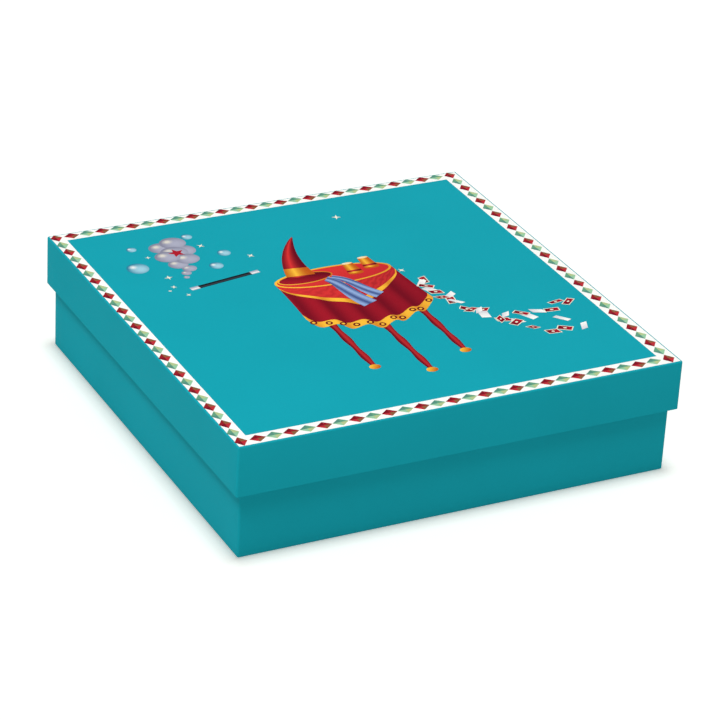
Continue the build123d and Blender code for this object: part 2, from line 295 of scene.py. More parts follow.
def welded_copy(node, name):
    """A piece that starts as a copy of a CAD node, with its loose triangles joined up."""
    piece = copied(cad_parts[node], name)
    with Editing(piece):
        bpy.ops.mesh.select_all(action="SELECT")
        bpy.ops.mesh.remove_doubles(threshold=TINY)
        bpy.ops.mesh.dissolve_limited(angle_limit=math.radians(0.5))
    return piece


def turned(name, centre, profile, sides=64):
    """A closed turned shape about an upright axis; profile is (radius, height) from the foot up."""
    first_radius, first_height = profile[0]
    piece = added(name, bpy.ops.mesh.primitive_circle_add, vertices=sides, radius=first_radius,
                  fill_type="NGON", location=(centre[0], centre[1], centre[2] + first_height))
    with Editing(piece) as edit:
        bpy.ops.mesh.select_all(action="SELECT")
        last_radius, last_height = first_radius, first_height
        for radius, height in profile[1:]:
            bpy.ops.mesh.extrude_region()
            bpy.ops.transform.translate(value=(0, 0, height - last_height))
            ratio = radius / last_radius
            bpy.ops.transform.resize(value=(ratio, ratio, 1), center_override=centre)
            last_radius, last_height = radius, height
        edit.outwards()
    return smooth(piece)


def arc(centre, radius, start, end, steps):
    """Profile points round an arc; angles in degrees, anticlockwise from outwards."""
    angles = [math.radians(start + (end - start) * i / steps) for i in range(steps + 1)]
    return [(centre[0] + radius * math.cos(a), centre[1] + radius * math.sin(a)) for a in angles]


def placed(piece, body, slot, *finishes):
    """Gives a piece its finishes and the body that carries it; slot is not used."""
    if finishes:
        piece.data.materials.clear()
    for finish in finishes:
        piece.data.materials.append(finish)
    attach(piece, body)
    return piece


def coat(node, finish):
    """A CAD node keeps its shape and takes a finish."""
    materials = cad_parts[node].data.materials
    materials.clear()
    materials.append(finish)


def middle_and_half(node):
    """The middle of a CAD node's box and half its sides, in millimetres."""
    low, high = (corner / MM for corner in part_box(node))
    return (low + high) / 2, (high - low) / 2


# --- Finishes --------------------------------------------------------------------------------

class Wire:
    """A value or colour on its way through a material, so that shader maths reads as Python."""

    def __init__(self, surface, socket):
        self.surface = surface
        self.socket = socket

    def maths(self, operation, *values):
        return self.surface.node("ShaderNodeMath", {"operation": operation}, values)

    def __abs__(self):
        return self.maths("ABSOLUTE", self)


def overload(method, operation, reflected=False):
    """Gives Wire a method on two values that adds one Math node."""
    def join(self, other):
        return self.maths(operation, *((other, self) if reflected else (self, other)))
    setattr(Wire, method, join)


for method, operation in {"__add__": "ADD", "__sub__": "SUBTRACT", "__mul__": "MULTIPLY",
                          "__truediv__": "DIVIDE", "__mod__": "FLOORED_MODULO",
                          "__gt__": "GREATER_THAN", "__lt__": "LESS_THAN",
                          "larger": "MAXIMUM", "smaller": "MINIMUM"}.items():
    overload(method, operation)
for method, operation in {"__radd__": "ADD", "__rsub__": "SUBTRACT", "__rmul__": "MULTIPLY"}.items():
    overload(method, operation, reflected=True)


def between(value, low, high):
    """1 where a value lies between two numbers, else 0."""
    return (value > low) * (value < high)


class Surface:
    """One procedural material, named for what it is."""

    def __init__(self, name):
        self.material = bpy.data.materials.new(name)
        self.material.use_nodes = True
        self.tree = self.material.node_tree
        self.shader = self.tree.nodes["Principled BSDF"]

    def plug(self, value, socket):
        """Links a wire to a socket, or sets the socket to a number or colour."""
        if isinstance(value, Wire):
            self.tree.links.new(value.socket, socket)
        elif socket.type == "RGBA" and len(value) == 3:
            socket.default_value = (*value, 1)
        else:
            socket.default_value = value

    def node(self, kind, settings=None, values=(), output=0):
        """Adds a node: its settings first, then its sockets by place or name. Returns one output."""
        node = self.tree.nodes.new(kind)
        for key, value in (settings or {}).items():
            setattr(node, key, value)
        pairs = values.items() if isinstance(values, dict) else enumerate(values)
        for key, value in pairs:
            self.plug(value, node.inputs[key])
        return Wire(self, node.outputs[output])

    def set(self, **values):
        """Sets or links the shader's sockets; an underscore stands for a space."""
        for key, value in values.items():
            self.plug(value, self.shader.inputs[key.replace("_", " ")])

    def place(self, per_mm=1.0, stretch=(1, 1, 1), centre=(0, 0, 0), turn=0.0):
        """Object coordinates in millimetres from the centre, or cells of that many to the millimetre."""
        scale = [per_mm / MM * s for s in stretch]
        shift = [-c * MM * s for c, s in zip(centre, scale)]
        coordinates = self.node("ShaderNodeTexCoord", output="Object")
        return self.node("ShaderNodeMapping", values={"Vector": coordinates, "Scale": scale,
                                                      "Location": shift, "Rotation": (0, 0, turn)})

    def axes(self, **where):
        """The three parts of the place on the object."""
        split = self.node("ShaderNodeSeparateXYZ", values=[self.place(**where)])
        outputs = split.socket.node.outputs
        return [Wire(self, outputs[i]) for i in range(3)]

    def noise(self, per_mm, detail=3.0, stretch=(1, 1, 1)):
        """Cloudy noise, 0 to 1."""
        return self.node("ShaderNodeTexNoise", values={"Vector": self.place(per_mm, stretch), "Scale": 1.0,
                                                       "Detail": detail})

    def mix(self, share, first, second):
        """The first colour where share is 0, the second where it is 1."""
        return self.node("ShaderNodeMix", {"data_type": "RGBA"}, {0: share, 6: first, 7: second}, output=2)

    def shaded(self, tint, amount, noise):
        """A colour made darker and lighter by a noise."""
        grey = self.mix(noise, (1 - amount,) * 3, (1 + amount,) * 3)
        return self.node("ShaderNodeMix", {"data_type": "RGBA", "blend_type": "MULTIPLY"},
                         {0: 1.0, 6: tint, 7: grey}, output=2)

    def relief(self, height, millimetres):
        """Surface relief from a 0 to 1 height."""
        self.set(Normal=self.node("ShaderNodeBump", values={"Height": height, "Distance": millimetres * MM}))


finishes = {}


def finish(make):
    """A finish is made once, the first time that a piece asks for it."""
    def once(*values):
        key = (make.__name__, *values)
        if key not in finishes:
            finishes[key] = make(*values).material
        return finishes[key]
    return once


def papery(surface, tint, roughness=0.55, specular=0.012):
    """What every printed or plain sheet shares: faint fibres, a little tooth and a low sheen."""
    fibres = surface.noise(1.4, 4.0, stretch=(1, 0.45, 1))
    clouds = surface.noise(0.02, 2.0)
    surface.set(Base_Color=surface.shaded(surface.shaded(tint, 0.04, clouds), 0.05, fibres),
                Roughness=roughness + 0.15 * fibres, Specular_IOR_Level=specular)
    surface.relief(fibres, 0.01)
    return surface


def edge_wear(surface, node, tint):
    """Paler paper where handling has rubbed the ink along a shell's upright edges."""
    reach, untouched, paleness = 0.35, 0.58, 0.5
    x, y, _ = surface.axes()
    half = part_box(node)[1].x / MM
    corner = half - abs(x).smaller(abs(y))
    rubbed = surface.noise(0.5, 4.0) > untouched
    return surface.mix((corner < reach) * rubbed * paleness, tint, tone(120, 205, 214))


@finish
def lid_paper():
    """Teal ground with a bare white band along the edges of the top."""
    look = bpy.context.scene.box_print
    top_depth = 0.7     # the rounded fold takes the top's print this far down
    surface = Surface("lid_paper")
    x, y, z = surface.axes()
    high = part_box("lid_wrap")[1] / MM
    on_top = z > high.z - top_depth
    outside = high.x - abs(x).larger(abs(y)) > look.band_bleed / MM
    inner = abs(x + look.shift_left / MM).larger(abs(y - look.shift_back / MM))
    band = on_top * outside * (inner > high.x - look.band_width / MM)
    ground = edge_wear(surface, "lid_wrap", tuple(look.teal))
    return papery(surface, surface.mix(band, ground, tuple(look.white)))


@finish
def base_paper():
    surface = Surface("base_paper")
    return papery(surface, edge_wear(surface, "base_wrap", tuple(bpy.context.scene.box_print.teal)))


@finish
def printed_ink():
    """Ink in the colours that the printed shapes carry."""
    surface = Surface("printed_ink")
    colours = surface.node("ShaderNodeVertexColor", {"layer_name": INK})
    return papery(surface, colours)


@finish
def greyboard():
    """Raw pulp board: grey-brown, with darker and lighter flecks."""
    surface = Surface("greyboard")
    flecks = surface.noise(0.9, 5.0, stretch=(1, 0.4, 1))
    specks = surface.noise(0.35, 2.0) > 0.66
    ground = surface.mix(flecks, (0.22, 0.19, 0.155), (0.50, 0.46, 0.40))
    surface.set(Base_Color=surface.mix(specks * 0.35, ground, (0.12, 0.10, 0.08)), Roughness=0.9,
                Specular_IOR_Level=0.2)
    surface.relief(flecks, 0.05)
    return surface


@finish
def kraft_tape():
    surface = Surface("kraft_tape")
    fibres = surface.noise(1.2, 4.0, stretch=(1, 1, 0.3))
    surface.set(Base_Color=surface.shaded((0.42, 0.27, 0.14), 0.3, fibres), Roughness=0.7)
    surface.relief(fibres, 0.02)
    return surface


@finish
def plain_paper(name, red, green, blue):
    return papery(Surface(f"paper_{name}"), tone(red, green, blue), 0.75)


@finish
def label_paper():
    """Label under the base: a white panel with a thin frame on the ground colour."""
    margin, line_start, line_end = 9, 12, 12.8
    surface = Surface("label_paper")
    x, y, _ = surface.axes()
    from_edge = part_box("base_label")[1].x / MM - abs(x).larger(abs(y))
    panel = (from_edge > margin) * (1 - between(from_edge, line_start, line_end))
    return papery(surface, surface.mix(panel, tuple(bpy.context.scene.box_print.teal), tone(240, 240, 234)))


@finish
def linen_paper():
    """Embossed linen paper on the outside of the folded board."""
    thread = 0.7
    surface = Surface("linen_paper")
    x, y, _ = surface.axes()
    along, across = (abs((run / thread) % 1.0 - 0.5) for run in (x, y))
    weave = (along + across) * surface.noise(0.9, 2.0)
    surface.set(Base_Color=surface.shaded(tone(20, 78, 96), 0.35, weave), Roughness=0.6,
                Specular_IOR_Level=0.2)
    surface.relief(weave, 0.09)
    return surface


@finish
def board_print():
    return papery(Surface("board_print"), tone(238, 226, 190), 0.5)


@finish
def rules_print():
    """Booklet cover: a teal panel in a white frame, with a row of diamonds along each edge."""
    pitch, inset, half_long, half_wide = 8.0, 4.5, 3.7, 2.8      # of the diamonds
    margin, line_start, line_end = 9, 12, 12.7
    surface = Surface("rules_print")
    middle, half = middle_and_half("rules_cover")
    x, y, _ = surface.axes(centre=middle)
    to_side, to_end = half.x - abs(x), half.y - abs(y)
    from_edge = to_side.smaller(to_end)
    at_end = to_end < to_side
    run = abs((at_end * x + (1 - at_end) * y) % pitch - pitch / 2)
    diamonds = (run / half_long + abs(from_edge - inset) / half_wide) < 1
    panel = from_edge > margin
    ruled = between(from_edge, line_start, line_end)
    print_on_white = surface.mix(diamonds, tone(240, 240, 232), tone(160, 30, 45))
    print_on_teal = surface.mix(ruled, tone(22, 161, 179), tone(240, 240, 232))
    return papery(surface, surface.mix(panel, print_on_white, print_on_teal), 0.4, 0.2)


@finish
def card_back(node, red, green, blue):
    """White card stock; the top card's back has a lattice inside a white margin."""
    top_depth = 0.4     # as far down as this is the top card
    margin, line_start, line_end = 3.4, 4.6, 5.2
    spacing, half_line = 4.0, 0.35                               # of the lattice
    surface = Surface(f"back_{node}")
    middle, half = middle_and_half(node)
    x, y, z = surface.axes(centre=middle)
    from_edge = (half.x - abs(x)).smaller(half.y - abs(y))
    on_top = z > half.z - top_depth
    slanting = surface.axes(centre=middle, turn=math.radians(45))[:2]
    rising, falling = (abs(way % spacing - spacing / 2) < half_line for way in slanting)
    lines = rising.larger(falling)
    frame_line = between(from_edge, line_start, line_end)
    inside = on_top * (from_edge > margin)
    pattern = surface.mix(lines.larger(frame_line) * 0.85, tone(red, green, blue), tone(238, 234, 222))
    return papery(surface, surface.mix(inside, tone(240, 238, 228), pattern), 0.35, 0.35)


@finish
def tray_plastic():
    """Formed sheet plastic: satin, with a soft orange-peel skin."""
    surface = Surface("tray_plastic")
    peel = surface.noise(0.6, 2.0)
    clouds = surface.noise(0.012, 1.0)
    surface.set(Base_Color=surface.shaded((0.66, 0.62, 0.54), 0.05, clouds), Roughness=0.36 + 0.1 * peel,
                Specular_IOR_Level=0.4)
    surface.relief(peel, 0.015)
    return surface


@finish
def moulded_plastic(name, red, green, blue):
    """Glossy moulded plastic with fine handling marks."""
    surface = Surface(f"moulded_{name}")
    swirl = surface.noise(0.08, 2.0)
    marks = surface.noise(1.8, 3.0, stretch=(1, 0.15, 1))
    surface.set(Base_Color=surface.shaded(tone(red, green, blue), 0.08, swirl),
                Roughness=0.16 + 0.16 * marks, Specular_IOR_Level=0.5)
    surface.relief(marks, 0.003)
    return surface


@finish
def bright_wire():
    surface = Surface("bright_wire")
    drawn = surface.noise(2.0, 2.0, stretch=(1, 0.1, 1))
    surface.set(Base_Color=surface.shaded((0.62, 0.62, 0.63), 0.08, drawn), Metallic=1.0,
                Roughness=0.22 + 0.15 * drawn)
    return surface


# --- Shells ----------------------------------------------------------------------------------

def wrapped_shell(name, node, turn_in, room=0.0):
    """Paper over one shell: panel, walls, the fold over the rim and the turned-in strip."""
    shell = bpy.context.scene.box_shell
    low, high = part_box(node)
    lid = node.startswith(LID)
    panel, rim = (high.z - room, low.z) if lid else (low.z, high.z)
    way = 1 if rim > panel else -1
    half = high.x
    mouth = half - shell.board - 2 * shell.paper
    flat_part, ramp = half - shell.tab_width, 3 * shell.paper      # ramp: from a tab down to the board
    piece = added(name, bpy.ops.mesh.primitive_cube_add, size=1, location=(0, 0, (panel + rim) / 2),
                  scale=(2 * half, 2 * half, abs(rim - panel)))
    at_rim = lambda p: abs(p.z - rim) < TINY
    at_panel = lambda p: abs(p.z - panel) < TINY
    with Editing(piece) as edit:
        edit.faces(lambda middle, normal: at_rim(middle))
        bpy.ops.mesh.delete(type="ONLY_FACE")
        edit.edges(lambda a, b: abs(a.z - b.z) > TINY)
        bpy.ops.mesh.bevel(offset=shell.upright_radius, segments=5, affect="EDGES")
        edit.edges(lambda a, b: at_panel(a) and at_panel(b))
        bpy.ops.mesh.bevel(offset=shell.fold_radius, segments=4, affect="EDGES")
        for cut in (flat_part, -flat_part, flat_part - ramp, ramp - flat_part):
            edit.faces(lambda middle, normal: abs(normal.x) > 0.99)
            bpy.ops.mesh.bisect(plane_co=(0, cut, 0), plane_no=(0, 1, 0))
        for side in (-1, 1):
            edit.points(lambda p: side * p.x > half - TINY and abs(p.y) < flat_part - 2 * shell.paper)
            bpy.ops.transform.translate(value=(-side * shell.tab_step, 0, 0))
        edit.edges(lambda a, b: at_rim(a) and at_rim(b))
        bpy.ops.mesh.extrude_region()
        bpy.ops.transform.resize(value=(mouth / half, mouth / half, 1), center_override=(0, 0, rim))
        bpy.ops.mesh.extrude_region()
        bpy.ops.transform.translate(value=(0, 0, -way * turn_in))
        edit.outwards()
    modified(piece, "SOLIDIFY", thickness=shell.paper, offset=-1)
    return smooth(piece, 40)


class BOX_OT_lid_cover(bpy.types.Operator):
    """Printed paper over the lid"""

    bl_idname = "box.lid_cover"
    bl_label = "Lid Cover"

    def execute(self, context):
        shell = context.scene.box_shell
        piece = wrapped_shell("lid_cover", "lid_wrap", shell.lid_turn_in, shell.print_room)
        placed(piece, LID, "lid_print", lid_paper())
        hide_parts("lid_wrap")
        return {"FINISHED"}


class BOX_OT_base_cover(bpy.types.Operator):
    """Paper over the base"""

    bl_idname = "box.base_cover"
    bl_label = "Base Cover"

    def execute(self, context):
        piece = wrapped_shell("base_cover", "base_wrap", context.scene.box_shell.base_turn_in)
        placed(piece, BASE, "base_print", base_paper())
        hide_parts("base_wrap")
        return {"FINISHED"}


class BOX_OT_board_and_linings(bpy.types.Operator):
    """Greyboard, corner tapes, linings and the label under the base"""

    bl_idname = "box.board_and_linings"
    bl_label = "Greyboard and Linings"

    def execute(self, context):
        for shell in (LID, BASE):
            coat(f"{shell}_board", greyboard())
            coat(f"{shell}_corner_tapes", kraft_tape())
            coat(f"{shell}_lining", plain_paper("lining", 236, 233, 222))
        coat("base_label", label_paper())
        return {"FINISHED"}


# --- Print on the lid --------------------------------------------------------------------------
# The drawing is in millimetres from the middle of the lid, x to the right and y to the back.
# Each shape is a sheet one printed layer thick, at its own level over the paper.

INK = "ink"
CRIMSON, WINE, SCARLET = tone(172, 28, 44), tone(104, 12, 30), tone(214, 52, 52)
AMBER, RUST = tone(250, 190, 60), tone(190, 90, 25)
BLACK, COAL = tone(18, 20, 26), tone(62, 68, 78)
SKY, NAVY = tone(150, 178, 224), tone(48, 70, 130)
CREAM, CHALK = tone(240, 234, 214), tone(250, 250, 246)
MIST, SMOKE = tone(170, 172, 192), tone(72, 70, 98)
FOAM, DEEP = tone(160, 208, 224), tone(44, 130, 158)


def blend(share, first, second):
    """The first colour where share is 0, the second where it is 1."""
    share = max(0.0, min(1.0, share))
    return tuple(a + (b - a) * share for a, b in zip(first, second))


def inked(piece, tint):
    """Writes a colour at every face corner; tint takes the corner's point and its face's middle."""
    mesh = piece.data
    colours = mesh.color_attributes.new(INK, "FLOAT_COLOR", "CORNER")
    for face in mesh.polygons:
        for loop in face.loop_indices:
            point = mesh.vertices[mesh.loops[loop].vertex_index].co
            colours.data[loop].color = (*tint(point, face.center), 1)
    return piece


def raised(piece, level):
    """Gives a flat shape the thickness of a printed layer and lifts it to its level."""
    layer = bpy.context.scene.box_print.layer
    paper_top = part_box("lid_wrap")[1].z - bpy.context.scene.box_shell.print_room
    modified(piece, "SOLIDIFY", thickness=layer, offset=0)
    with Editing(piece) as edit:
        edit.outwards()
        bpy.ops.transform.translate(value=(0, 0, paper_top + (level + 0.5) * layer))
    return piece


def painted(level, columns, rows, place, tint):
    """A sheet whose points and colours are formulas of across and along, each 0 to 1."""
    piece = added("shape", bpy.ops.mesh.primitive_grid_add, size=1, x_subdivisions=columns,
                  y_subdivisions=rows)
    inked(piece, lambda point, middle: tint(point.x + 0.5, point.y + 0.5))
    for point in piece.data.vertices:
        x, y = place(point.co.x + 0.5, point.co.y + 0.5)
        point.co = (x * MM, y * MM, 0)
    return raised(piece, level)


def spot(level, centre, radii, turn, tint, cells=10):
    """An oval; tint takes the place in it, -1 to 1 each way."""
    cosine, sine = math.cos(math.radians(turn)), math.sin(math.radians(turn))

    def in_circle(across, along):
        u, v = 2 * across - 1, 2 * along - 1
        return u * math.sqrt(1 - v * v / 2), v * math.sqrt(1 - u * u / 2)

    def place(across, along):
        u, v = in_circle(across, along)
        u, v = u * radii[0], v * radii[1]
        return centre[0] + u * cosine - v * sine, centre[1] + u * sine + v * cosine

    return painted(level, cells, cells, place, lambda across, along: tint(*in_circle(across, along)))


def curve(share, *controls):
    """A point on the Bezier curve through the first and last controls."""
    while len(controls) > 1:
        controls = [tuple(a + (b - a) * share for a, b in zip(p, q)) for p, q in zip(controls, controls[1:])]
    return controls[0]


def strip(level, controls, width, tint, cells=(4, 16)):
    """A band along a curve; width takes the share of the way along it."""

    def place(across, along):
        x, y = curve(along, *controls)
        ahead, behind = curve(along + 0.01, *controls), curve(along - 0.01, *controls)
        run = Vector((ahead[0] - behind[0], ahead[1] - behind[1])).normalized()
        side = (across - 0.5) * width(along)
        return x + run.y * side, y - run.x * side

    return painted(level, *cells, place, tint)


def star(level, centre, reach, points, waist, turn, tint):
    """A star with straight points; waist is its inner corners' share of the reach."""
    piece = added("shape", bpy.ops.mesh.primitive_circle_add, vertices=2 * points, radius=reach * MM,
                  fill_type="TRIFAN")
    step = math.pi / points
    with Editing(piece) as edit:
        edit.points(lambda p: p.length > TINY and round(math.atan2(p.x, p.y) / step) % 2)
        bpy.ops.transform.resize(value=(waist, waist, 1), center_override=(0, 0, 0))
    piece.data.transform(Matrix.Translation((centre[0] * MM, centre[1] * MM, 0))
                         @ Matrix.Rotation(math.radians(turn), 4, "Z"))
    return raised(inked(piece, lambda point, middle: tint), level)


def rounded(dark, light, shine):
    """Tint of a thing that curves away from the light at both sides, lit from the left."""
    def tint(across, along):
        return blend(max(0.0, 1 - abs(2 * across - shine)) ** 2, dark, light)
    return tint


def sheen(dark, light, start, across=0.0, along=0.0):
    """Tint that changes evenly over a shape; start is its share of light where u and v are 0."""
    return lambda u, v: blend(start + across * u + along * v, dark, light)


def printed(name, shapes):
    """Joins shapes into one printed piece on the lid."""
    return placed(joined(name, shapes), LID, "lid_print", printed_ink())


class BOX_OT_border(bpy.types.Operator):
    """Red and mint diamonds along the four edges of the lid"""

    bl_idname = "box.border"
    bl_label = "Border Diamonds"

    facets = {      # upper left, upper right, lower left, lower right
        "red": (tone(126, 22, 38), tone(150, 32, 42), tone(186, 48, 56), tone(140, 92, 62)),
        "mint": (tone(86, 142, 126), tone(98, 158, 128), tone(150, 200, 162), tone(178, 196, 142)),
    }

    def diamond(self, name):
        """One diamond along x about the origin, its four facets in four shades."""
        look = bpy.context.scene.box_print
        shades = self.facets[name]
        piece = added(name, bpy.ops.mesh.primitive_circle_add, vertices=4, radius=look.diamond_long / 2,
                      fill_type="TRIFAN")
        with Editing(piece):
            bpy.ops.mesh.select_all(action="SELECT")
            bpy.ops.transform.resize(value=(1, look.diamond_wide / look.diamond_long, 1))
        return raised(inked(piece, lambda point, middle: shades[2 * (middle.y <= 0) + (middle.x > 0)]), 0)

    def execute(self, context):
        look = context.scene.box_print
        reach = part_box("lid_wrap")[1].x - look.diamond_inset
        shift = Matrix.Translation((-look.shift_left, look.shift_back, 0))
        quarter = Matrix.Rotation(math.radians(90), 4, "Z")
        spots = {"red": [], "mint": []}
        for side in (-1, 1):
            for i in range(look.side_count):
                along = reach * (1 - 2 * i / (look.side_count - 1))
                place = shift @ Matrix.Translation((side * reach, along, 0)) @ quarter
                spots["mint" if i % 2 else "red"].append(place)
            pitch = 2 * reach / (look.front_count + 1)
            for i in range(1, look.front_count + 1):
                along = -reach + i * pitch
                place = shift @ Matrix.Translation((along, side * reach, 0))
                spots["red" if i % 2 else "mint"].append(place)
        rows = [repeated(name, self.diamond(name), places) for name, places in spots.items()]
        piece = printed("border_diamonds", rows)
        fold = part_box("lid_wrap")[1].x - look.fold_room
        for point in piece.data.vertices:
            point.co.x, point.co.y = (max(-fold, min(fold, value)) for value in point.co.xy)
        return {"FINISHED"}


class BOX_OT_printed_table(bpy.types.Operator):
    """Round conjuror's table under a red cloth, printed in the middle of the lid"""

    bl_idname = "box.printed_table"
    bl_label = "Printed Table"

    centre, reach, depth = (0, 30), 37, 11.5      # the table's top, as an oval
    drop = 56                                     # from the middle of the top to the hem
    folds = 5

    def cloth(self, across, along):
        """The hanging cloth: across from left to right, along from the hem to the table's edge."""
        out = 2 * across - 1
        bulge = math.sqrt(max(0.0, 1 - out * out))
        ripple = math.cos(2 * math.pi * (self.folds * across + 0.1))
        hang = 1 - along
        x = self.centre[0] + out * (self.reach + 3 * hang ** 1.5)
        y = self.centre[1] - self.depth * bulge - (self.drop - 9 * abs(out)) * hang
        return x + 1.4 * ripple * hang, y + 2.4 * ripple * hang ** 2

    def point(self, across, along):
        """The upper cloth, whose lower edge comes to a point."""
        corner = 0.13 + 0.36 * (1 - abs(2 * across - 1)) ** 0.9
        return self.cloth(across, 1 - corner * (1 - along))

    def fold(self, across):
        """The light that the cloth's folds catch, less towards the right."""
        wave = 0.5 + 0.5 * math.cos(2 * math.pi * (self.folds * across + 0.25))
        return (0.2 + 0.8 * wave) * (1.1 - 0.5 * across)

    def red(self, across, along):
        return blend(0.75 * self.fold(across), WINE, CRIMSON)

    def speckled(self, across, along):
        spots = 0.3 if (round(across * 22) + round(along * 9)) % 2 else 0.0
        return blend(0.85 - 0.4 * across + spots, WINE, SCARLET)

    def gold(self, across, along):
        return blend(self.fold(across) + 0.2, RUST, AMBER)

    def execute(self, context):
        hem, dots = 0.13, 11                      # the hem's share of the drop, and its dots
        glow, edge = sheen(CRIMSON, SCARLET, 0.9, -0.3, 0.2), sheen(RUST, AMBER, 0.8, -0.3)
        shapes = [
            painted(1, 44, 20, self.cloth, self.red),
            painted(2, 44, 3, lambda u, v: self.cloth(u, v * hem), self.gold),
            painted(2, 36, 8, self.point, self.speckled),
            painted(3, 36, 2, lambda u, v: self.point(u, 0.24 * v - 0.02), self.gold),
            spot(4, self.centre, (self.reach, self.depth), 0, edge, 16),
            spot(5, self.centre, (self.reach - 1.6, self.depth - 1.3), 0, glow, 16),
        ]
        places = [self.cloth((i + 0.5) / dots, hem / 2) for i in range(dots)]
        spots = [Matrix.Translation((x * MM, y * MM, 0)) for x, y in places]
        shapes += [
            repeated("dots", spot(3, (0, 0), (2.1, 2.1), 0, lambda u, v: WINE, 4), spots),
            repeated("eyes", spot(4, (0, 0), (1.0, 1.0), 0, lambda u, v: AMBER, 3), spots),
        ]
        printed("printed_table", shapes)

        red, gold = rounded(WINE, SCARLET, 0.8), rounded(RUST, AMBER, 0.8)
        bulged = lambda t: 4.4 - 1.2 * t + 1.6 * math.sin(3 * math.pi * t) ** 2
        foot = sheen(RUST, AMBER, 0.5, -0.5, 0.3)
        legs = []
        for x, start, end in ((-28, -12, -78), (28, -12, -78), (0, -24, -92)):
            legs.append(strip(0, [(x, start), (x, end)], bulged, red, (4, 20)))
            legs.append(spot(1, (x, end - 1.6), (3.4, 2.6), 0, foot, 8))
        printed("printed_legs", legs)

        silk = lambda u, v: blend(0.5 + 0.45 * math.cos(9 * u + 5 * v), NAVY, SKY)
        printed("printed_scarf", [
            strip(8, [(-6, 27), (0, 21), (-3, 6), (4, -10)], lambda t: 6 + 5 * t, silk, (8, 16)),
            strip(9, [(-2, 28), (8, 22), (6, 10), (14, -2)], lambda t: 4 + 5 * t, silk, (8, 16)),
        ])

        cup, band = lambda t: 9.5 - 2.8 * t, lambda t: 9.2 - 0.4 * t
        mouth = sheen(AMBER, CREAM, 0.6, -0.3)
        for name, x, y in (("cup_near", 14, 28), ("cup_far", 26, 32)):
            printed(f"printed_{name}", [
                strip(7, [(x, y), (x, y + 13)], cup, gold, (8, 4)),
                spot(6, (x, y), (4.75, 1.5), 0, lambda u, v: RUST, 8),
                spot(8, (x, y + 13), (3.35, 1.1), 0, mouth, 8),
                strip(8, [(x, y + 2), (x, y + 4)], band, red, (8, 1)),
            ])
        return {"FINISHED"}


class BOX_OT_printed_hat(bpy.types.Operator):
    """Pointed hat on the printed table, and the wand in the air beside it"""

    bl_idname = "box.printed_hat"
    bl_label = "Printed Hat and Wand"

    def execute(self, context):
        axis = [(-18, 34), (-17, 52), (-12, 68), (-1, 84)]
        tall = lambda t: 17 * (1 - t) ** 0.85 + 0.6
        braid, brim = sheen(RUST, AMBER, 0.6, -0.4), sheen(WINE, CRIMSON, 0.35, -0.35, -0.4)
        shapes = [
            spot(6, (-17, 32), (17.4, 6.5), 2, braid, 14),
            spot(7, (-17, 32), (16.5, 5.6), 2, brim, 14),
            strip(8, axis, tall, rounded(WINE, SCARLET, 0.75), (8, 22)),
            strip(9, [curve(share, *axis) for share in (0.03, 0.13, 0.22)],
                  lambda t: tall(0.03 + 0.19 * t) + 0.3, rounded(RUST, AMBER, 0.75), (8, 5)),
        ]
        printed("printed_hat", shapes)

        start, end, bare = (-38, 50), (-84, 42), 0.12
        shapes = [strip(0, [start, end], lambda t: 3.4, rounded(BLACK, COAL, 0.7), (6, 1))]
        for first, last in ((0, bare), (1 - bare, 1)):
            ends = [curve(share, start, end) for share in (first, last)]
            shapes.append(strip(1, ends, lambda t: 3.5, rounded(MIST, CHALK, 0.7), (6, 1)))
        printed("printed_wand", shapes)
        return {"FINISHED"}


class BOX_OT_printed_cards(bpy.types.Operator):
    """Loose playing cards that tumble off the printed table to the right"""

    bl_idname = "box.printed_cards"
    bl_label = "Printed Cards"

    count, seed = 30, 5
    long, wide, margin = 9.4, 5.8, 0.6
    path = (45, 8), (47, -34), (72, -84), (112, -58)

    def sheet(self, level, inset, tint):
        return painted(level, 2, 2, lambda u, v: ((u - 0.5) * (self.wide - 2 * inset),
                                                  (v - 0.5) * (self.long - 2 * inset)), tint)

    def red_card(self):
        """The back of a card: a bare margin, a red panel and a light spot."""
        return joined("red", [
            self.sheet(0, 0, lambda u, v: CREAM),
            self.sheet(1, self.margin, sheen(CRIMSON, WINE, 0, along=0.9)),
            spot(2, (0, 0), (0.8, 1.1), 0, lambda u, v: CREAM, 3),
        ])

    def white_card(self):
        return self.sheet(0, 0, sheen(CHALK, MIST, 0, along=0.6))

    def execute(self, context):
        draw = random.Random(self.seed)
        layer = context.scene.box_print.layer
        places = {"red": [], "white": []}
        for i in range(self.count):
            share = (i + 0.5) / self.count
            x, y = curve(share, *self.path)
            spread = 2 + 30 * share ** 1.6
            y += spread * (draw.random() - 0.5) * 1.3
            x += 5 * (draw.random() - 0.5)
            roll, lean, squeeze = draw.uniform(20, 160), draw.uniform(-60, 60), draw.uniform(0.35, 0.85)
            matrix = (Matrix.Translation((x * MM, y * MM, 3 * layer * (i % 3)))
                      @ Matrix.Rotation(math.radians(lean), 4, "Z")
                      @ Matrix.Diagonal((1, squeeze, 1, 1))
                      @ Matrix.Rotation(math.radians(roll), 4, "Z"))
            places["white" if i % 5 in (1, 3) else "red"].append(matrix)
        printed("printed_cards", [repeated("reds", self.red_card(), places["red"]),
                                  repeated("whites", self.white_card(), places["white"])])
        return {"FINISHED"}


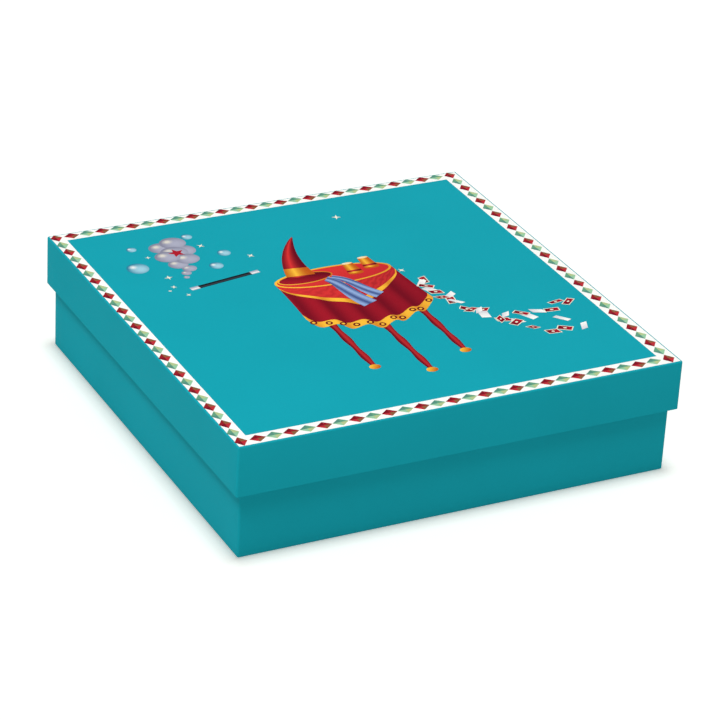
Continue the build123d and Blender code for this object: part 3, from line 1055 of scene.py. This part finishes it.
class BOX_OT_printed_bubbles(bpy.types.Operator):
    """Bubbles, a plume of smoke and sparks at the upper left of the lid"""

    bl_idname = "box.printed_bubbles"
    bl_label = "Printed Bubbles"

    def ball(self, dark, light, gleam):
        """Tint of a ball lit from the upper left."""
        def tint(u, v):
            edge = math.hypot(u - 0.2, v + 0.2) / 1.2
            glow = max(0.0, 1 - 2.4 * math.hypot(u + 0.3, v - 0.35))
            return blend(glow, blend(1.2 * edge ** 2, light, dark), gleam)
        return tint

    def execute(self, context):
        bubble = self.ball(DEEP, FOAM, CHALK)
        bubbles = ((-96, 101, 3.0), (-102, 77, 6.6), (-59, 106, 3.4), (-47, 79, 4.0), (-58, 65, 4.2))
        printed("printed_bubbles", [spot(0, (x, y), (r, r), 0, bubble, 12) for x, y, r in bubbles])

        smoke = self.ball(blend(0.5, SMOKE, MIST), MIST, CREAM)
        puffs = ((-80, 57, 1.8), (-78, 62, 3.0), (-74, 67, 4.4), (-78, 74, 6.0), (-70, 79, 7.2),
                 (-80, 85, 7.6), (-68, 90, 7.6), (-79, 97, 7.4), (-70, 101, 8.0), (-74, 89, 8.4))
        shapes = [spot(i % 6, (x, y), (r, r * 0.9), 0, smoke, 10) for i, (x, y, r) in enumerate(puffs)]
        shapes.append(star(6, (-73, 88), 5.2, 5, 0.45, 10, CRIMSON))
        sparks = ((-90, 60, 2.6), (-91, 88, 1.8), (-56, 92, 2.4), (-92, 48, 2.0), (36, 100, 3.0),
                  (-34, 70, 2.4), (40, 22, 2.4), (-88, 36, 1.8), (-96, 44, 1.4))
        shapes += [star(3, (x, y), reach, 4, 0.3, 12 * x, CREAM) for x, y, reach in sparks]
        printed("printed_smoke", shapes)
        return {"FINISHED"}


# --- Contents ----------------------------------------------------------------------------------

class BOX_OT_insert(bpy.types.Operator):
    """Formed plastic insert, its bends rounded"""

    bl_idname = "box.insert"
    bl_label = "Insert Tray"

    def execute(self, context):
        piece = welded_copy("insert_tray", "formed_insert")
        modified(piece, "BEVEL", width=context.scene.box_contents.tray_rounding, segments=3,
                 limit_method="ANGLE", angle_limit=math.radians(30), use_clamp_overlap=True)
        smooth(piece, 40)
        placed(piece, BASE, "tray_plastic", tray_plastic())
        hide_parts("insert_tray")
        return {"FINISHED"}


class BOX_OT_board_and_rules(bpy.types.Operator):
    """Folded board, stapled rules and the two banded decks"""

    bl_idname = "box.board_and_rules"
    bl_label = "Board, Rules and Cards"

    def execute(self, context):
        for leaf in ("board_lower_leaf", "board_upper_leaf"):
            coat(leaf, greyboard())
        coat("board_face_sheet", board_print())
        coat("board_backing", linen_paper())
        coat("rules_cover", rules_print())
        coat("rules_pages", plain_paper("pages", 246, 244, 236))
        coat("rules_staples", bright_wire())
        coat("red_deck_cards", card_back("red_deck_cards", 178, 30, 46))
        coat("teal_deck_cards", card_back("teal_deck_cards", 20, 140, 158))
        for deck in ("red_deck", "teal_deck"):
            coat(f"{deck}_band", plain_paper("band", 232, 214, 178))
        return {"FINISHED"}


class BOX_OT_dice(bpy.types.Operator):
    """Two dice with hollow pips"""

    bl_idname = "box.dice"
    bl_label = "Dice"

    def pips(self, side):
        """The pips' cutters: one ball, copied to every pip of the six faces."""
        settings = bpy.context.scene.box_contents
        across, deep = settings.pip_radius, settings.pip_depth
        radius = (across ** 2 + deep ** 2) / (2 * deep)
        ball = added("pip", bpy.ops.mesh.primitive_uv_sphere_add, segments=24, ring_count=16, radius=radius)
        corners = [(-1, -1), (1, 1), (-1, 1), (1, -1)]
        patterns = {1: [(0, 0)], 2: corners[:2], 3: corners[:2] + [(0, 0)], 4: corners,
                    5: corners + [(0, 0)], 6: corners + [(-1, 0), (1, 0)]}
        faces = {5: (2, 1), 2: (2, -1), 4: (0, 1), 3: (0, -1), 6: (1, 1), 1: (1, -1)}
        places = []
        for value, (axis, way) in faces.items():
            for u, v in patterns[value]:
                place = [u * settings.pip_pitch, v * settings.pip_pitch]
                place.insert(axis, way * (side / 2 + radius - deep))
                places.append(Matrix.Translation(place))
        return repeated("pips", ball, places)

    def die(self, node, body, pip):
        low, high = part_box(node)
        side = high.z - low.z
        piece = added(f"{node}_cube", bpy.ops.mesh.primitive_cube_add, size=side)
        with Editing(piece):
            bpy.ops.mesh.select_all(action="SELECT")
            bpy.ops.mesh.bevel(offset=bpy.context.scene.box_contents.die_rounding, segments=6, affect="EDGES")
        cutters = self.pips(side)
        for half in (piece, cutters):
            half.data.materials.append(body)
            half.data.materials.append(pip)
        for face in cutters.data.polygons:
            face.material_index = 1
        modified(piece, "BOOLEAN", object=cutters, operation="DIFFERENCE", solver="EXACT")
        bpy.data.objects.remove(cutters)
        piece.data.transform(Matrix.Translation((low + high) / 2))
        return smooth(piece, 30)

    def execute(self, context):
        ivory, coal = moulded_plastic("ivory", 244, 236, 212), moulded_plastic("coal", 24, 24, 28)
        crimson, white = moulded_plastic("crimson", 180, 24, 40), moulded_plastic("white", 246, 246, 242)
        for node, slot, body, pip in (("die_left", "die_ivory", ivory, coal),
                                      ("die_right", "die_crimson", crimson, white)):
            piece = placed(self.die(node, body, pip), BASE, slot)
            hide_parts(node)
        return {"FINISHED"}


class BOX_OT_pawns(bpy.types.Operator):
    """Four turned pawns"""

    bl_idname = "box.pawns"
    bl_label = "Pawns"

    colours = {"red": (186, 26, 40), "yellow": (244, 190, 40), "green": (46, 140, 74),
               "blue": (36, 88, 168)}
    steps = 14                                    # up the curve from foot to neck

    def profile(self, foot, tall):
        settings = bpy.context.scene.box_contents
        soft = foot / 14
        head, neck = settings.pawn_head, settings.pawn_neck
        head_level = tall - head
        neck_level = head_level - math.sqrt(head ** 2 - neck ** 2)
        points = [(foot - soft, 0), (foot, soft),
                  *arc((foot - soft, settings.pawn_foot - soft), soft, 0, 90, 3)]
        start, end = (foot - soft, settings.pawn_foot), (neck, neck_level)
        for i in range(1, self.steps + 1):
            share = i / self.steps
            radius, height = curve(share, start, end)
            points.append((radius - 4 * settings.pawn_sag * share * (1 - share), height))
        first = math.degrees(math.asin((neck_level - head_level) / head))
        return points + arc((0, head_level), head, first, 88, 20)[1:]

    def execute(self, context):
        for name, screen in self.colours.items():
            node = f"pawn_{name}"
            low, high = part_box(node)
            middle = (low + high) / 2
            profile = self.profile((high.x - low.x) / 2, high.z - low.z)
            piece = turned(f"turned_pawn_{name}", (middle.x, middle.y, low.z), profile)
            placed(piece, BASE, node, moulded_plastic(node, *screen))
            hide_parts(node)
        return {"FINISHED"}


class BOX_OT_counters(bpy.types.Operator):
    """Two stacks of round counters with a raised rim"""

    bl_idname = "box.counters"
    bl_label = "Counters"

    colours = {"red": (196, 40, 50), "mint": (120, 196, 160)}

    def execute(self, context):
        settings = context.scene.box_contents
        for name, screen in self.colours.items():
            node = f"counters_{name}"
            low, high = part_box(node)
            pitch = (high.z - low.z + settings.counter_air) / settings.counter_count
            thick = pitch - settings.counter_air
            radius = (high.x - low.x) / 2
            edge, rim, groove = radius / 25, radius * 0.85, thick / 8
            hub = rim * 0.55
            profile = [(radius - edge, 0), *arc((radius - edge, edge), edge, -60, 0, 3),
                       *arc((radius - edge, thick - edge), edge, 0, 90, 3), (rim, thick),
                       (rim - groove, thick - groove), (hub, thick - groove),
                       (hub - groove, thick), (rim * 0.1, thick)]
            middle = (low + high) / 2
            one = turned("counter", (middle.x, middle.y, low.z), profile)
            levels = [Matrix.Translation((0, 0, i * pitch)) for i in range(settings.counter_count)]
            piece = repeated(f"moulded_counters_{name}", one, levels)
            placed(piece, BASE, f"counter_{name}", moulded_plastic(f"counter_{name}", *screen))
            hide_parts(node)
        return {"FINISHED"}


# --- Stage -----------------------------------------------------------------------------------

class BOX_OT_stage(bpy.types.Operator):
    """Camera, white floor and soft light"""

    bl_idname = "box.stage"
    bl_label = "Stage"

    # Each lamp's way out from the box, and how wide it looks from there in degrees.
    above = (0, -0.3, 1), 14
    left = (-1, -0.2, 2.25), 18
    upright = (0, 0, 1), 14
    fade = 0.11, 0.15         # sines of the heights between which the horizon turns to sky
    sky_tint, floor_tint, glow_tint = (1, 1, 0.94, 1), (0.95, 0.95, 0.93), (1, 1, 0.95)

    def camera(self, stage):
        low, high = (Vector(corner) for corner in cad_box)
        aim = Vector((-stage.aim_left, -stage.aim_front, (low.z + high.z) / 2))
        out = math.cos(stage.elevation)
        back = Vector((math.sin(stage.azimuth) * out, -math.cos(stage.azimuth) * out,
                       math.sin(stage.elevation)))
        camera = bpy.data.objects.new("camera", bpy.data.cameras.new("camera"))
        camera.data.lens = stage.focal
        camera.location = aim + back * stage.distance
        facing = (-back).to_track_quat("-Z", "Y").to_matrix().to_4x4()
        camera.rotation_euler = (facing @ Matrix.Rotation(stage.roll, 4, "Z")).to_euler()
        bpy.context.collection.objects.link(camera)
        bpy.context.scene.camera = camera

    def lamp(self, name, strength, towards, softness, lit):
        """A far lamp that lights the pieces in lit alone; towards is the way from the box to it."""
        light = bpy.data.lights.new(name, "SUN")
        light.energy = strength
        light.angle = math.radians(softness)
        lamp = bpy.data.objects.new(name, light)
        lamp.rotation_euler = Vector(towards).to_track_quat("Z", "Y").to_euler()
        bpy.context.collection.objects.link(lamp)
        receivers = bpy.data.collections.new(f"lit_by_{name}")
        for piece in lit:
            receivers.objects.link(piece)
        lamp.light_linking.receiver_collection = receivers

    def surroundings(self, stage):
        """An even dome, brighter low down so that it meets the floor without a line."""
        world = bpy.data.worlds.new("white_room")
        world.use_nodes = True
        nodes, links = world.node_tree.nodes, world.node_tree.links
        coordinates = nodes.new("ShaderNodeTexCoord")
        split = nodes.new("ShaderNodeSeparateXYZ")
        fade = nodes.new("ShaderNodeMapRange")
        limits = {"From Min": self.fade[0], "From Max": self.fade[1], "To Min": stage.horizon,
                  "To Max": stage.sky}
        for socket, value in limits.items():
            fade.inputs[socket].default_value = value
        links.new(coordinates.outputs["Generated"], split.inputs[0])
        links.new(split.outputs["Z"], fade.inputs["Value"])
        links.new(fade.outputs["Result"], nodes["Background"].inputs["Strength"])
        nodes["Background"].inputs["Color"].default_value = self.sky_tint
        bpy.context.scene.world = world

    def execute(self, context):
        stage = context.scene.box_stage
        self.camera(stage)
        pieces = [piece for piece in context.scene.objects if piece.type == "MESH"]
        self.lamp("overhead_lamp", stage.overhead, *self.above, pieces)
        self.lamp("key_lamp", stage.key, *self.left, pieces)
        self.surroundings(stage)
        floor = added("floor", bpy.ops.mesh.primitive_plane_add, size=stage.floor_size)
        surface = Surface("floor")
        surface.set(Base_Color=self.floor_tint, Roughness=0.9, Specular_IOR_Level=0.0,
                    Emission_Color=self.glow_tint, Emission_Strength=stage.floor_glow)
        floor.data.materials.append(surface.material)
        self.lamp("floor_lamp", stage.downward, *self.upright, [floor])
        context.scene.view_settings.view_transform = "Standard"
        return {"FINISHED"}


operators = [
    BOX_OT_lid_cover,
    BOX_OT_base_cover,
    BOX_OT_board_and_linings,
    BOX_OT_border,
    BOX_OT_printed_table,
    BOX_OT_printed_hat,
    BOX_OT_printed_cards,
    BOX_OT_printed_bubbles,
    BOX_OT_insert,
    BOX_OT_board_and_rules,
    BOX_OT_dice,
    BOX_OT_pawns,
    BOX_OT_counters,
    BOX_OT_stage,
]


class BOX_PT_pieces(bpy.types.Panel):
    """Lists the pieces that can be made"""

    bl_label = "Game Box"
    bl_space_type = "VIEW_3D"
    bl_region_type = "UI"
    bl_category = "Game Box"

    def draw(self, context):
        for operator in operators:
            self.layout.operator(operator.bl_idname)


def register():
    for settings in settings_groups.values():
        bpy.utils.register_class(settings)
    for name, settings in settings_groups.items():
        setattr(bpy.types.Scene, name, PointerProperty(type=settings))
    for operator in operators:
        bpy.utils.register_class(operator)
    bpy.utils.register_class(BOX_PT_pieces)


def unregister():
    bpy.utils.unregister_class(BOX_PT_pieces)
    for operator in reversed(operators):
        bpy.utils.unregister_class(operator)
    for name, settings in settings_groups.items():
        delattr(bpy.types.Scene, name)
        bpy.utils.unregister_class(settings)


def main():
    register()
    for operator in operators:
        name = operator.bl_idname.split(".")[1]
        getattr(bpy.ops.box, name)()


if __name__ == "__main__":
    main()
